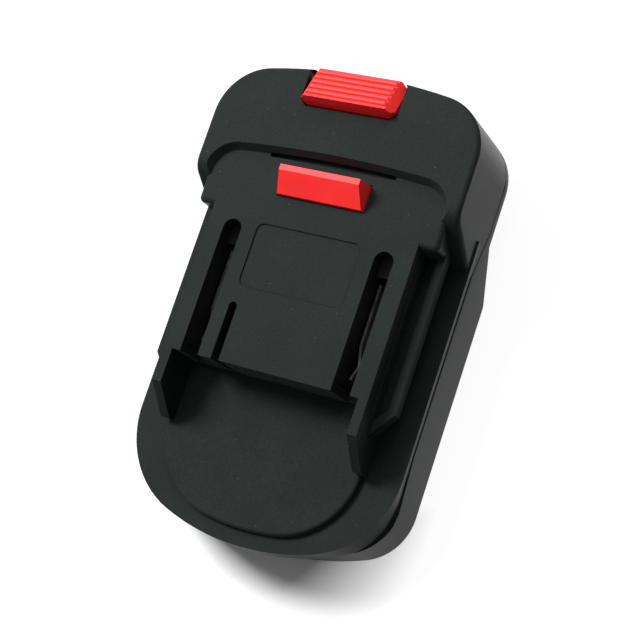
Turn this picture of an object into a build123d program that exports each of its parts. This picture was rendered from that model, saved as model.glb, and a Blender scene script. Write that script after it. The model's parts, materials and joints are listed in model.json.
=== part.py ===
from build123d import *
import math
import os

# A tool battery adapter. A tool slides on to the rails of its top side from the tail, and a battery
# slides into the socket of its underside from the head. Pressing the red button draws the latch in.
# X is across, Y runs from tail to head, Z is up, and the origin is the middle of the footprint.
# Heights end in z, places along the part end in y, and reaches are from the plateau's tail edge.

os.makedirs("parts", exist_ok=True)

# Whole part
length = 115.2
tail_reach = 39.6
skirt_half_width = 35.75
cover_wall = 2.2
overrun = 20.0

# Lower housing, from the ground up
socket_depth = 9.0
floor_thickness = 2.5
lip_z = 14.4
tail_lip_z = 12.2
tail_lip_reach = 24.0
tail_lip_rise_reach = 8.0
shell_draft = 0.3
shell_tail_inset = 1.6
shell_bow_radius = 75.0
shell_corner_radius = 14.0
skirt_thickness = 2.4
skirt_foot_radius = 1.2
skirt_foot_reach = 32.0
skirt_top_reach = 46.0
battery_rail_height = 2.6
battery_rail_half_gap = 30.2
battery_rail_reach = 20.5
battery_rail_lead = 4.0
catch_half_width = 10.0
catch_length = 6.0
catch_reach = 58.0
seam_gap = 0.3
seam_high_reach = 37.4
seam_low_reach = 49.0

# Tail plate and raised disc of the top cover
plate_z = 17.5
plate_half_width = 36.2
plate_foot_half_width = 35.2
plate_bow_radius = 61.7
plate_corner_radius = 24.0
plate_foot_corner_radius = 17.0
plate_top_inset = 0.1
disc_rise = 1.6
disc_half_width = 26.7
disc_inset = 4.0
disc_bow_radius = 57.0
disc_corner_radius = 20.0
disc_edge_radius = 0.8

# Plateau, rails, flanges and fins
plateau_z = 31.0
rail_half_width = 27.6
fin_thickness = 2.4
fin_flat_reach = 8.5
fin_end_reach = 15.4
fin_slope_drop = 9.4
groove_height = 4.4
flange_thickness = 3.3
flange_half_width = 32.5
flange_head_reach = 37.0
flange_corner_reach = 0.9
flange_tail_reach = 7.1
flange_lip_width = 1.8
channel_depth = 2.0
channel_lip_drop = 0.3
ledge_drop = 4.4
ledge_width = 0.25
ledge_end_inset = 1.6
wide_edge_radius = 1.4

# Head
head_rise = 2.0
head_draft = 0.6
head_bow_radius = 150.0
head_corner_radius = 14.0
head_edge_radius = 1.2
shoulder_foot_reach = 35.7
shoulder_top_reach = 45.0
shoulder_radius = 4.5
arch_reach = 54.1
arch_half_width = 32.6
arch_step_run = 1.4
arch_bow_radius = 300.0
arch_corner_radius = 8.0
arch_slit_half_length = 17.0
arch_slit_width = 1.2
arch_slit_depth = 1.4
arch_slit_undercut = 1.5

# Openings of the top
slot_inner_x = 18.0
slot_width = 5.0
slot_reach = 34.4
slot_floor_drop = 10.5
signal_slot_x = -13.25
signal_slot_width = 2.2
signal_slot_reach = 14.6
label_half_width = 14.0
label_low_reach = 18.8
label_high_reach = 34.8
label_corner_radius = 2.0
label_depth = 0.3

# Release latch
latch_travel = 5.2
latch_clearance = 0.3
latch_low_reach = 42.5
latch_high_reach = 49.0
latch_crest_low_reach = 47.3
latch_crest_high_reach = 48.7
latch_crest_rise = 5.0
latch_nose_rise = 1.0
latch_half_width = 11.5
latch_crest_half_width = 10.7
frame_half_width = 12.0
frame_thickness = 2.0
button_low_reach = 65.5
button_crest_reach = 66.5
button_end_reach = 75.2
button_crest_rise = 5.3
button_end_rise = 1.7
button_half_width = 12.6
button_top_half_width = 10.9
button_bevel_drop = 2.3
button_corner = 1.4
button_skirt_thickness = 1.6
button_skirt_drop = 8.0
button_lip_height = 2.4
button_side_gap = 0.5
ridge_count = 5
ridge_radius = 0.6
ridge_margin = 1.3

# Guide posts, sleeves and coils under the latch
post_x = 7.4
post_reach = 52.0
post_radius = 1.8
post_height = 12.0
sleeve_clearance = 0.35
sleeve_wall = 1.1
sleeve_length = 7.5
wire_radius = 0.4
coil_clearance = 0.5
coil_turns = 6
coil_end_gap = 0.15
coil_steps = 16
wire_sides = 6

# Inner carrier, board and contacts
fit_gap = 0.3
holder_base_thickness = 2.0
holder_tail_gap = 0.3
holder_rib_thickness = 1.0
holder_foot = 3.0
holder_end_margin = 1.5
channel_side_gap = 0.2
signal_channel_side_gap = 0.4
stop_length = 5.6
stop_drop = 5.0
board_half_width = 22.6
board_thickness = 1.6
board_lift = 0.8
component_space = 3.7
transistor_size = (6.6, 6.1, 2.3)
transistor_x = 13.5
transistor_reach = 21.0
capacitor_radius = 3.1
capacitor_height = 3.2
capacitor_x = 5.0
capacitor_reach = 16.0
fuse_size = (10.2, 3.2, 2.6)
fuse_reach = 23.5
clip_strip = 0.6
clip_half_width = 2.2
clip_height = 4.5
clip_back_reach = 28.0
clip_bend_reach = 13.0
clip_pinch_reach = 8.0
clip_mouth_reach = 4.6
clip_pinch_half_gap = 0.4
clip_mouth_half_gap = 1.5
solder_tail_width = 1.6
signal_clip_strip = 0.35
signal_clip_half_width = 0.95
signal_clip_back_reach = 12.6
signal_clip_pinch_half_gap = 0.25
signal_clip_mouth_half_gap = 0.6

# Battery plug and its blades
block_half_width = 20.6
block_low_inset = 9.6
block_length = 9.4
block_foot_z = 1.6
block_flange = 1.6
block_flange_thickness = 0.7
blade_x = 15.0
blade_thickness = 0.8
blade_low_z = 2.6
blade_high_z = 7.6
blade_length = 14.0
blade_tail_length = 3.0
blade_tail_z = 15.7
blade_clearance = 0.1
signal_blade_length = 10.0

# Leads
lead_radius = 0.8
lead_board_x = 9.0
signal_lead_board_x = -4.5
lead_straight = 9.0
lead_slant = 10.0
lead_board_reach = 8.0
lead_bend_radius = 6.0
lead_rise_gap = 0.1

# Screws
screw_inset = 5.25
screw_tail_reach = -4.0
head_screw_inset = 7.15
head_screw_reach = 62.0
screw_radius = 1.5
screw_length = 5.2
screw_head_radius = 2.8
screw_head_height = 1.3
screw_hole_clearance = 0.1
screw_pass_clearance = 0.25
boss_radius = 3.5
board_screw_reaches = (7.0, 31.5)
board_screw_radius = 1.0
board_screw_head_radius = 2.0
board_screw_head_height = 1.2
board_screw_length = 3.4

# Places that follow from these sizes
tail_y = -length / 2
head_y = length / 2
edge_y = tail_y + tail_reach
floor_z = socket_depth + floor_thickness
draft_slope = math.tan(math.radians(shell_draft))
plate_under_z = tail_lip_z + seam_gap
disc_z = plate_z + disc_rise
flange_under_z = plate_z + groove_height
flange_z = flange_under_z + flange_thickness
head_z = plateau_z + head_rise
roof_z = plateau_z - cover_wall
head_roof_z = head_z - cover_wall
seam_z = floor_z + seam_gap
seam_half_width = skirt_half_width + floor_z * draft_slope
shoulder_foot_z = lip_z + seam_gap
shoulder_slope = (shoulder_top_reach - shoulder_foot_reach) / (head_z - shoulder_foot_z)
shoulder_wall = cover_wall * math.hypot(1, shoulder_slope)
wide_y = edge_y + flange_head_reach
arch_foot_reach = arch_reach - arch_step_run
board_z = floor_z + board_lift
board_top_z = board_z + board_thickness
holder_z = board_top_z + component_space
holder_top_z = holder_z + holder_base_thickness
slot_x = slot_inner_x + slot_width / 2
frame_z = roof_z - latch_clearance
frame_under_z = frame_z - frame_thickness
button_low_y = edge_y + button_low_reach
button_crest_y = edge_y + button_crest_reach
button_end_y = edge_y + button_end_reach
button_crest_z = plateau_z + button_crest_rise
button_end_z = plateau_z + button_end_rise
button_lip_z = head_z - button_lip_height


def bowed_outline(plane, half_width, end_y, bow_radius, corner_radius, root_y):
    """Sketch straight sides from root_y to a bowed end with round corners."""
    inward = math.copysign(1, root_y - end_y)
    side_y = end_y + inward * (bow_radius - math.sqrt(bow_radius**2 - half_width**2))
    with BuildSketch(plane) as outline:
        with BuildLine():
            ThreePointArc((half_width, side_y), (0, end_y), (-half_width, side_y))
            Polyline((-half_width, side_y), (-half_width, root_y), (half_width, root_y), (half_width, side_y))
        make_face()
        corners = outline.vertices().sort_by(Axis.Y)
        fillet(corners[:2] if inward > 0 else corners[-2:], corner_radius)
    return outline.sketch


def closed_profile(plane, points):
    """Sketch a straight-sided outline through points."""
    with BuildSketch(plane) as profile:
        with BuildLine():
            Polyline(*points, close=True)
        make_face()
    return profile.sketch


def button_outline(plane, grow):
    """Sketch the button's footprint with cut corners, larger all round by grow."""
    with BuildSketch(plane) as outline:
        with Locations((0, (button_low_y + button_end_y) / 2)):
            Rectangle(2 * button_half_width, button_end_y - button_low_y)
        chamfer(outline.vertices(), button_corner)
        if grow:
            offset(amount=grow, kind=Kind.INTERSECTION)
    return outline.sketch


def raised_seam(rise, far_z):
    """The side view between far_z and the seam of the two shells, lifted by rise."""
    return [
        (tail_y - overrun, far_z),
        (tail_y - overrun, tail_lip_z + rise),
        (edge_y - tail_lip_reach, tail_lip_z + rise),
        (edge_y - tail_lip_rise_reach, lip_z + rise),
        (edge_y + seam_high_reach, lip_z + rise),
        (edge_y + seam_low_reach, floor_z + rise),
        (head_y + overrun, floor_z + rise),
        (head_y + overrun, far_z),
    ]


def block_between(low, high, mode=Mode.ADD):
    """A box between two opposite corners."""
    middle = tuple((a + b) / 2 for a, b in zip(low, high))
    with Locations(middle):
        Box(*[b - a for a, b in zip(low, high)], mode=mode)


# Head of the top cover: a drafted block with a sloping shoulder at its tail side, cut to the seam
with BuildPart() as head_body:
    outline = bowed_outline(
        Plane.XY.offset(seam_z), seam_half_width, head_y, head_bow_radius, head_corner_radius, edge_y
    )
    extrude(outline, amount=head_z - seam_z, taper=head_draft)
    outline = closed_profile(
        Plane.YZ,
        [
            (edge_y + shoulder_foot_reach, shoulder_foot_z),
            (edge_y + seam_high_reach, shoulder_foot_z),
            (edge_y + seam_low_reach, seam_z),
            (head_y + overrun, seam_z),
            (head_y + overrun, head_z),
            (edge_y + shoulder_top_reach, head_z),
        ],
    )
    extrude(outline, amount=skirt_half_width + overrun, both=True, mode=Mode.INTERSECT)
    shoulder_edge = head_body.faces().sort_by(Axis.Z)[-1].edges().sort_by(Axis.Y)[0]
    fillet(shoulder_edge, shoulder_radius)
    fillet(head_body.faces().sort_by(Axis.Z)[-1].edges().sort_by(Axis.Y)[1:], head_edge_radius)

# Hollow of the head, whose roof steps down to the plateau's at the arch
with BuildPart() as head_core:
    outline = bowed_outline(
        Plane.XY.offset(plate_under_z - overrun),
        seam_half_width - cover_wall,
        head_y - cover_wall,
        head_bow_radius - cover_wall,
        head_corner_radius - cover_wall,
        edge_y,
    )
    extrude(outline, amount=head_z + overrun)
    core_foot_y = edge_y + shoulder_foot_reach + shoulder_wall
    outline = closed_profile(
        Plane.YZ,
        [
            (core_foot_y, seam_z - overrun),
            (core_foot_y, shoulder_foot_z),
            (core_foot_y + shoulder_slope * (roof_z - shoulder_foot_z), roof_z),
            (edge_y + arch_reach + cover_wall / 2, roof_z),
            (edge_y + arch_reach + cover_wall / 2, head_roof_z),
            (head_y + overrun, head_roof_z),
            (head_y + overrun, seam_z - overrun),
        ],
    )
    extrude(outline, amount=skirt_half_width, both=True, mode=Mode.INTERSECT)

# Scooped channel along the top of each flange, deepest at the rail's wall
with BuildPart() as flange_channel:
    outline = closed_profile(
        Plane.XZ.offset(-wide_y),
        [
            (rail_half_width, flange_z + overrun),
            (rail_half_width, flange_z - channel_depth),
            (flange_half_width - flange_lip_width, flange_z - channel_lip_drop),
            (flange_half_width - flange_lip_width, flange_z + overrun),
        ],
    )
    extrude(outline, amount=flange_head_reach + flange_tail_reach)
    outline = closed_profile(
        Plane.XY.offset(flange_z - channel_depth - flange_lip_width),
        [
            (rail_half_width, wide_y),
            (flange_half_width - flange_lip_width, wide_y),
            (flange_half_width - flange_lip_width, edge_y),
            (rail_half_width, edge_y - flange_tail_reach + 2 * flange_lip_width),
        ],
    )
    extrude(outline, amount=head_z, mode=Mode.INTERSECT)

# Wide part of the plateau, whose outer edges are round
wide_head_y = edge_y + arch_reach
with BuildPart() as wide_block:
    block_between((-flange_half_width, wide_y, plate_under_z), (flange_half_width, wide_head_y, plateau_z))
    top_edges = wide_block.faces().sort_by(Axis.Z)[-1].edges().sort_by(Axis.Y)[:3]
    tail_corners = wide_block.edges().filter_by(Axis.Z).sort_by(Axis.Y)[:2]
    fillet(top_edges + tail_corners, wide_edge_radius)

# Top cover
with BuildPart() as top_cover:
    plate_root_y = edge_y + shoulder_top_reach
    plate_foot = bowed_outline(
        Plane.XY.offset(plate_under_z),
        plate_foot_half_width,
        tail_y,
        plate_bow_radius,
        plate_foot_corner_radius,
        plate_root_y,
    )
    plate_top = bowed_outline(
        Plane.XY.offset(plate_z),
        plate_half_width,
        tail_y + plate_top_inset,
        plate_bow_radius,
        plate_corner_radius,
        plate_root_y,
    )
    loft([plate_foot, plate_top], ruled=True)
    outline = closed_profile(Plane.YZ, raised_seam(seam_gap, floor_z - overrun))
    extrude(outline, amount=skirt_half_width + overrun, both=True, mode=Mode.SUBTRACT)

    # Raised disc
    disc_y = tail_y + disc_inset
    outline = bowed_outline(
        Plane.XY.offset(plate_z), disc_half_width, disc_y, disc_bow_radius, disc_corner_radius, edge_y
    )
    extrude(outline, amount=disc_rise)
    fillet(top_cover.faces().sort_by(Axis.Z)[-1].edges().sort_by(Axis.Y)[:3], disc_edge_radius)

    # Plateau, narrow between the flanges and wide ahead of them
    block_between((-rail_half_width, edge_y, plate_under_z), (rail_half_width, plate_root_y, plateau_z))
    add(wide_block.part)

    # Flanges, whose scoops run along the rails
    for side in (-1, 1):
        outline = closed_profile(
            Plane.XY.offset(flange_under_z),
            [
                (side * (rail_half_width - fin_thickness), wide_y + wide_edge_radius),
                (side * flange_half_width, wide_y + wide_edge_radius),
                (side * flange_half_width, edge_y - flange_corner_reach),
                (side * rail_half_width, edge_y - flange_tail_reach),
                (side * (rail_half_width - fin_thickness), edge_y - flange_tail_reach),
            ],
        )
        extrude(outline, amount=flange_thickness)
    add(flange_channel.part, mode=Mode.SUBTRACT)
    add(flange_channel.part.mirror(Plane.YZ), mode=Mode.SUBTRACT)
    for side in (-1, 1):
        outer = side * (rail_half_width + ledge_width)
        inner = side * (rail_half_width - ledge_width)
        block_between(
            (min(outer, inner), edge_y - ledge_drop, flange_z - channel_depth),
            (max(outer, inner), wide_y - ledge_end_inset, plateau_z - ledge_drop),
        )

    # Fins that carry the rails on over the disc
    for side in (-1, 1):
        outline = closed_profile(
            Plane.YZ.offset(side * (rail_half_width - fin_thickness / 2)),
            [
                (edge_y + fin_thickness, plateau_z),
                (edge_y - fin_flat_reach, plateau_z),
                (edge_y - fin_end_reach, plateau_z - fin_slope_drop),
                (edge_y - fin_end_reach, plate_z - disc_rise),
                (edge_y + fin_thickness, plate_z - disc_rise),
            ],
        )
        extrude(outline, amount=fin_thickness / 2, both=True)

    # Head, with the arch over the plateau
    add(head_body.part)
    outline = bowed_outline(
        Plane.XY.offset(plateau_z),
        arch_half_width - arch_step_run,
        edge_y + arch_foot_reach,
        arch_bow_radius,
        arch_corner_radius - arch_step_run,
        edge_y + flange_head_reach,
    )
    arch_lean = math.degrees(math.atan(arch_step_run / head_rise))
    extrude(outline, amount=head_rise + overrun, taper=-arch_lean, mode=Mode.SUBTRACT)

    # Hollows under the head, the plateau and the disc
    add(head_core.part, mode=Mode.SUBTRACT)
    tunnel_half_width = rail_half_width - fin_thickness
    block_between(
        (-tunnel_half_width, edge_y + cover_wall, seam_z - overrun),
        (tunnel_half_width, plate_root_y, roof_z),
        mode=Mode.SUBTRACT,
    )
    wide_inside = flange_half_width - cover_wall
    block_between(
        (-wide_inside, wide_y + cover_wall, seam_z - overrun),
        (wide_inside, wide_head_y, roof_z),
        mode=Mode.SUBTRACT,
    )
    outline = bowed_outline(
        Plane.XY.offset(plate_under_z - overrun),
        disc_half_width - cover_wall,
        disc_y + cover_wall,
        disc_bow_radius - cover_wall,
        disc_corner_radius - cover_wall,
        edge_y + 2 * cover_wall,
    )
    extrude(outline, amount=disc_z - cover_wall - plate_under_z + overrun, mode=Mode.SUBTRACT)

    # Terminal slots and the signal slot, open through the plateau's tail wall
    slots = [
        (-slot_x, slot_width, slot_reach, slot_floor_drop),
        (slot_x, slot_width, slot_reach, slot_floor_drop),
        (signal_slot_x, signal_slot_width, signal_slot_reach, slot_floor_drop),
    ]
    for centre_x, width, reach, drop in slots:
        with BuildSketch(Plane.XY.offset(roof_z - cover_wall)):
            with Locations((centre_x, edge_y + reach - width / 2)):
                Circle(width / 2)
            with Locations((centre_x, edge_y + (reach - width / 2 - overrun) / 2)):
                Rectangle(width, reach - width / 2 + overrun)
        extrude(amount=overrun, mode=Mode.SUBTRACT)
        block_between(
            (centre_x - width / 2, edge_y - cover_wall, plateau_z - drop),
            (centre_x + width / 2, edge_y + 2 * cover_wall, plateau_z + cover_wall),
            mode=Mode.SUBTRACT,
        )

    # Shallow place for a label, left bare
    with BuildSketch(Plane.XY.offset(plateau_z - label_depth)):
        with Locations((0, edge_y + (label_low_reach + label_high_reach) / 2)):
            RectangleRounded(
                2 * label_half_width, label_high_reach - label_low_reach, label_corner_radius
            )
    extrude(amount=overrun, mode=Mode.SUBTRACT)

    # Window of the latch bar, and the blind slit at the foot of the arch, which runs in under the head
    latch_window = latch_half_width + latch_clearance
    block_between(
        (-latch_window, edge_y + latch_low_reach - latch_clearance, roof_z - cover_wall),
        (latch_window, edge_y + latch_high_reach + latch_clearance, head_z),
        mode=Mode.SUBTRACT,
    )
    block_between(
        (-arch_slit_half_length, edge_y + arch_foot_reach - arch_slit_width, plateau_z - arch_slit_depth),
        (arch_slit_half_length, edge_y + arch_foot_reach + arch_slit_undercut, plateau_z + label_depth),
        mode=Mode.SUBTRACT,
    )

    # Notch that follows the button's outline
    notch_z = button_lip_z - latch_travel - latch_clearance
    outline = button_outline(Plane.XY.offset(notch_z), button_side_gap)
    extrude(outline, amount=head_z, mode=Mode.SUBTRACT)

    # Screw bosses under the head, and the blind holes that take the screws
    tail_screw_x = skirt_half_width - screw_inset
    head_screw_x = skirt_half_width - head_screw_inset
    tail_spots = [(side * tail_screw_x, edge_y + screw_tail_reach) for side in (-1, 1)]
    head_spots = [(side * head_screw_x, edge_y + head_screw_reach) for side in (-1, 1)]
    with BuildSketch(Plane.XY.offset(seam_z)):
        with Locations(*head_spots):
            Circle(boss_radius)
    extrude(amount=head_roof_z + cover_wall / 2 - seam_z)
    screw_tip_z = socket_depth + screw_head_height + seam_gap + screw_length
    with BuildSketch(Plane.XY.offset(floor_z)):
        with Locations(*tail_spots, *head_spots):
            Circle(screw_radius + screw_hole_clearance)
    extrude(amount=screw_tip_z + seam_gap - floor_z, mode=Mode.SUBTRACT)
top_cover.part.label = "top_cover"
export_step(top_cover.part, "parts/top_cover.step")

# Lower housing
with BuildPart() as lower_housing:
    shell_tail_y = tail_y + shell_tail_inset
    outline = bowed_outline(
        Plane.XY, skirt_half_width, shell_tail_y, shell_bow_radius, shell_corner_radius, edge_y + overrun
    )
    extrude(outline, amount=lip_z, taper=-shell_draft)
    outline = bowed_outline(
        Plane.XY,
        skirt_half_width,
        head_y - floor_z * draft_slope,
        head_bow_radius,
        head_corner_radius,
        edge_y + overrun,
    )
    extrude(outline, amount=lip_z, taper=-shell_draft)
    tail_foot = lower_housing.faces().sort_by(Axis.Z)[0].edges().sort_by(Axis.Y)[:5]
    fillet(tail_foot, skirt_foot_radius)

    # Edge that meets the cover: low round the tail, high beside the rails, down to the floor at the head
    outline = closed_profile(Plane.YZ, raised_seam(0, lip_z + overrun))
    extrude(outline, amount=skirt_half_width + overrun, both=True, mode=Mode.SUBTRACT)

    # Space under the cover
    inner_half_width = skirt_half_width + socket_depth * draft_slope - skirt_thickness
    outline = bowed_outline(
        Plane.XY.offset(floor_z),
        inner_half_width,
        shell_tail_y + skirt_thickness,
        shell_bow_radius - skirt_thickness,
        shell_corner_radius - skirt_thickness,
        head_y,
    )
    extrude(outline, amount=lip_z, mode=Mode.SUBTRACT)

    # Head's underside, cut away in front of the skirts, which end in a slope
    outline = closed_profile(
        Plane.YZ,
        [
            (edge_y + skirt_foot_reach, 0),
            (edge_y + skirt_top_reach, socket_depth),
            (head_y + overrun, socket_depth),
            (head_y + overrun, -overrun),
            (edge_y + skirt_foot_reach, -overrun),
        ],
    )
    extrude(outline, amount=skirt_half_width + overrun, both=True, mode=Mode.SUBTRACT)

    # Battery socket, open towards the head, with a rail along each skirt
    outline = bowed_outline(
        Plane.XY,
        inner_half_width,
        shell_tail_y + skirt_thickness,
        shell_bow_radius - skirt_thickness,
        shell_corner_radius - skirt_thickness,
        head_y + overrun,
    )
    extrude(outline, amount=socket_depth, mode=Mode.SUBTRACT)
    rail_tail_y = edge_y - battery_rail_reach
    rail_head_y = edge_y + skirt_foot_reach
    for side in (-1, 1):
        outline = closed_profile(
            Plane.XY,
            [
                (side * (inner_half_width + skirt_thickness / 2), rail_tail_y),
                (side * battery_rail_half_gap, rail_tail_y),
                (side * battery_rail_half_gap, rail_head_y - battery_rail_lead),
                (side * inner_half_width, rail_head_y),
                (side * (inner_half_width + skirt_thickness / 2), rail_head_y),
            ],
        )
        extrude(outline, amount=battery_rail_height)

    # Catch window for the battery's own latch
    catch_y = edge_y + catch_reach
    block_between(
        (-catch_half_width, catch_y, 0),
        (catch_half_width, catch_y + catch_length, floor_z + overrun),
        mode=Mode.SUBTRACT,
    )

    # Window that takes the battery plug
    block_low_y = tail_y + block_low_inset
    block_high_y = block_low_y + block_length
    block_between(
        (-block_half_width - fit_gap, block_low_y - fit_gap, socket_depth - floor_thickness),
        (block_half_width + fit_gap, block_high_y + fit_gap, floor_z + floor_thickness),
        mode=Mode.SUBTRACT,
    )

    # Guide posts of the latch
    post_spots = [(side * post_x, edge_y + post_reach) for side in (-1, 1)]
    with BuildSketch(Plane.XY.offset(socket_depth + floor_thickness / 2)):
        with Locations(*post_spots):
            Circle(post_radius)
    extrude(amount=floor_thickness / 2 + post_height)

    # Pads that lift the board, bosses round the tail screws, and all screw holes
    board_screw_spots = [(0, edge_y + reach) for reach in board_screw_reaches]
    pad_x = board_half_width - holder_foot
    pad_spots = [(side * pad_x, y) for side in (-1, 1) for _, y in board_screw_spots]
    with BuildSketch(Plane.XY.offset(floor_z)):
        with Locations(*board_screw_spots, *pad_spots):
            Circle(board_screw_head_radius)
    extrude(amount=board_lift)
    with BuildSketch(Plane.XY.offset(floor_z)):
        with Locations(*tail_spots):
            Circle(boss_radius)
    extrude(amount=lip_z - floor_z)
    with BuildSketch(Plane.XY.offset(socket_depth)):
        with Locations(*tail_spots, *head_spots):
            Circle(screw_head_radius + screw_pass_clearance)
    extrude(amount=screw_head_height + seam_gap, mode=Mode.SUBTRACT)
    with BuildSketch(Plane.XY.offset(socket_depth)):
        with Locations(*tail_spots, *head_spots):
            Circle(screw_radius + screw_pass_clearance)
    extrude(amount=overrun, mode=Mode.SUBTRACT)
    with BuildSketch(Plane.XY.offset(board_top_z - board_screw_length - seam_gap)):
        with Locations(*board_screw_spots):
            Circle(board_screw_radius + screw_hole_clearance)
    extrude(amount=overrun, mode=Mode.SUBTRACT)
lower_housing.part.label = "lower_housing"
export_step(lower_housing.part, "parts/lower_housing.step")

# Latch bar, a wedge that rises towards the head, with bevelled ends
latch_low_y = edge_y + latch_low_reach
frame_middle_z = frame_z - frame_thickness / 2
with BuildPart() as latch_bar:
    outline = closed_profile(
        Plane.YZ,
        [
            (latch_low_y, frame_middle_z),
            (latch_low_y, plateau_z + latch_nose_rise),
            (edge_y + latch_crest_low_reach, plateau_z + latch_crest_rise),
            (edge_y + latch_crest_high_reach, plateau_z + latch_crest_rise),
            (edge_y + latch_high_reach, plateau_z),
            (edge_y + latch_high_reach, frame_middle_z),
        ],
    )
    extrude(outline, amount=latch_half_width, both=True)
    bevel = latch_half_width - latch_crest_half_width
    for side in (-1, 1):
        bevel_plane = Plane(
            origin=(side * latch_half_width, 0, plateau_z), z_dir=(side * latch_crest_rise, 0, bevel)
        )
        split(bisect_by=bevel_plane, keep=Keep.BOTTOM)

# Thumb button, a ribbed slope over a skirt that stays behind the head's end wall
skirt_y = head_y - cover_wall - 2 * latch_clearance
with BuildPart() as thumb_button:
    outline = closed_profile(
        Plane.YZ,
        [
            (button_low_y, frame_under_z),
            (button_low_y, head_z),
            (button_crest_y, button_crest_z),
            (button_end_y, button_end_z),
            (button_end_y, button_lip_z),
            (skirt_y, button_lip_z),
            (skirt_y, button_lip_z - button_skirt_drop),
            (skirt_y - button_skirt_thickness, button_lip_z - button_skirt_drop),
            (skirt_y - button_skirt_thickness, frame_under_z),
        ],
    )
    extrude(outline, amount=button_half_width, both=True)
    ridge_run = button_end_y - button_crest_y - 2 * ridge_margin
    ridge_fall = (button_crest_z - button_end_z) / (button_end_y - button_crest_y)
    ridge_spots = []
    for index in range(ridge_count):
        run = ridge_margin + ridge_run * index / (ridge_count - 1)
        ridge_spots.append((button_crest_y + run, button_crest_z - run * ridge_fall))
    with BuildSketch(Plane.YZ):
        with Locations(*ridge_spots):
            Circle(ridge_radius)
    extrude(amount=button_half_width, both=True)
    bevel = button_half_width - button_top_half_width
    for side in (-1, 1):
        bevel_plane = Plane(
            origin=(side * button_top_half_width, button_crest_y, button_crest_z),
            z_dir=(side * button_bevel_drop, ridge_fall * bevel, bevel),
        )
        split(bisect_by=bevel_plane, keep=Keep.BOTTOM)
    outline = button_outline(Plane.XY.offset(button_lip_z - button_skirt_drop), 0)
    extrude(outline, amount=head_z, mode=Mode.INTERSECT)

# Release latch: the bar and the button on one sprung frame, with a sleeve for each guide post
sleeve_bore = post_radius + sleeve_clearance
sleeve_radius = sleeve_bore + sleeve_wall
with BuildPart() as release_latch:
    block_between(
        (-frame_half_width, latch_low_y, frame_under_z),
        (frame_half_width, button_low_y + frame_thickness, frame_z),
    )
    add(latch_bar.part)
    add(thumb_button.part)
    with BuildSketch(Plane.XY.offset(frame_under_z - sleeve_length)):
        with Locations(*post_spots):
            Circle(sleeve_radius)
    extrude(amount=sleeve_length + frame_thickness / 2)
    with BuildSketch(Plane.XY.offset(frame_under_z - sleeve_length)):
        with Locations(*post_spots):
            Circle(sleeve_bore)
    extrude(amount=sleeve_length + frame_thickness, mode=Mode.SUBTRACT)
release_latch.part.label = "release_latch"
export_step(release_latch.part, "parts/release_latch.step")

# Latch springs, one round each sleeve
coil_radius = sleeve_radius + coil_clearance + wire_radius
coil_low_z = floor_z + coil_end_gap + wire_radius
coil_height = frame_under_z - coil_end_gap - wire_radius - coil_low_z
coil_pitch = coil_height / coil_turns
print("latch spring gap between turns", round(coil_pitch - 2 * wire_radius, 3))
coil_angles = [2 * math.pi * step / coil_steps for step in range(coil_turns * coil_steps + 1)]
for name, (post_side_x, post_y) in zip(("latch_spring_left", "latch_spring_right"), post_spots):
    coil_points = [
        (
            post_side_x + coil_radius * math.cos(angle),
            post_y + coil_radius * math.sin(angle),
            coil_low_z + coil_pitch * angle / (2 * math.pi),
        )
        for angle in coil_angles
    ]
    with BuildPart() as latch_spring:
        with BuildLine() as coil:
            Polyline(*coil_points)
        with BuildSketch(Plane(origin=coil.line @ 0, z_dir=coil.line % 0)):
            RegularPolygon(wire_radius, wire_sides)
        sweep(transition=Transition.RIGHT)
    latch_spring.part.label = name
    export_step(latch_spring.part, f"parts/{name}.step")

# Contact holder: a base on four feet, with a walled channel under each slot
holder_x = tunnel_half_width - fit_gap
holder_low_y = edge_y + cover_wall + holder_tail_gap
holder_high_y = edge_y + slot_reach + holder_end_margin
rib_z = roof_z - fit_gap
channels = [
    (-slot_x, slot_width / 2 + channel_side_gap, holder_high_y),
    (slot_x, slot_width / 2 + channel_side_gap, holder_high_y),
    (
        signal_slot_x,
        signal_slot_width / 2 + signal_channel_side_gap,
        edge_y + signal_slot_reach + holder_end_margin,
    ),
]
clip_places = [
    (-slot_x, clip_strip, clip_half_width, clip_back_reach),
    (slot_x, clip_strip, clip_half_width, clip_back_reach),
    (signal_slot_x, signal_clip_strip, signal_clip_half_width, signal_clip_back_reach),
]
with BuildPart() as contact_holder:
    block_between((-holder_x, holder_low_y, holder_z), (holder_x, holder_high_y, holder_top_z))
    for side in (-1, 1):
        for foot_y in (holder_low_y, holder_high_y - holder_foot):
            foot_x = side * (board_half_width - holder_foot / 2)
            block_between(
                (foot_x - holder_foot / 2, foot_y, board_top_z),
                (foot_x + holder_foot / 2, foot_y + holder_foot, holder_z),
            )
    for centre_x, half_gap, end_y in channels:
        wall_x = half_gap + holder_rib_thickness
        block_between((centre_x - wall_x, holder_low_y, holder_top_z), (centre_x + wall_x, end_y, rib_z))
    for centre_x, half_gap, end_y in channels:
        block_between(
            (centre_x - half_gap, holder_low_y - holder_foot, holder_top_z),
            (centre_x + half_gap, end_y - holder_rib_thickness, rib_z + holder_foot),
            mode=Mode.SUBTRACT,
        )
    for centre_x, half_gap, end_y in channels[:2]:
        block_between(
            (centre_x - half_gap, end_y - holder_rib_thickness - stop_length, holder_top_z),
            (centre_x + half_gap, end_y - holder_rib_thickness / 2, plateau_z - stop_drop),
        )
    for centre_x, strip, half_width, back_reach in clip_places:
        tail_spot_y = edge_y + back_reach - solder_tail_width
        block_between(
            (centre_x - strip, tail_spot_y - solder_tail_width, holder_z - holder_foot),
            (centre_x + strip, tail_spot_y + solder_tail_width, holder_top_z + strip),
            mode=Mode.SUBTRACT,
        )
contact_holder.part.label = "contact_holder"
export_step(contact_holder.part, "parts/contact_holder.step")


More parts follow.
